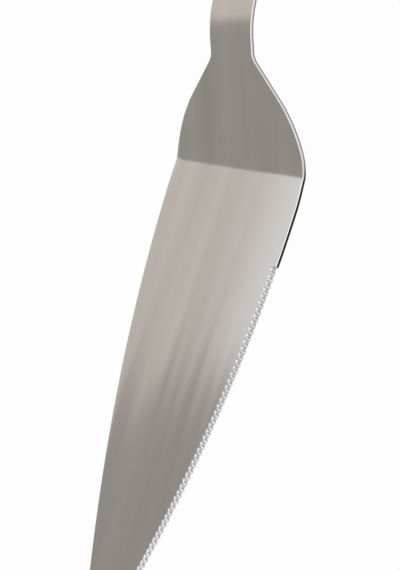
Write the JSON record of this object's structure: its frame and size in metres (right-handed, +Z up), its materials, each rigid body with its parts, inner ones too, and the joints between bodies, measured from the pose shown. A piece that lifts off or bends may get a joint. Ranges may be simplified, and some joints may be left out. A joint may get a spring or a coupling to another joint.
{
  "type": "cake knife",
  "caption": "Leaf-shaped cake knife of bent sheet steel with one scalloped edge, a cranked shoulder and a full tang between riveted wooden handle scales.",
  "frame": {"origin": "on the blade's flat underside, on the centre line at the blade's widest station", "axes": "+Y towards the handle, tip towards -Y, +X towards the scalloped edge, +Z up from the underside"},
  "size_m": [0.055, 0.2877, 0.0437],
  "materials": {
    "blade_steel": "stainless sheet, fine brushing along the blade, edges polished",
    "handle_wood": "oiled walnut, grain along the handle",
    "rivet_steel": "polished stainless rivet heads"
  },
  "bodies": {
    "root": {"blade": "blade_steel", "upper_scale": "handle_wood", "lower_scale": "handle_wood", "front_rivet_cap": "rivet_steel", "front_rivet_post": "rivet_steel", "middle_rivet_cap": "rivet_steel", "middle_rivet_post": "rivet_steel", "rear_rivet_cap": "rivet_steel", "rear_rivet_post": "rivet_steel"}
  },
  "joints": []
}
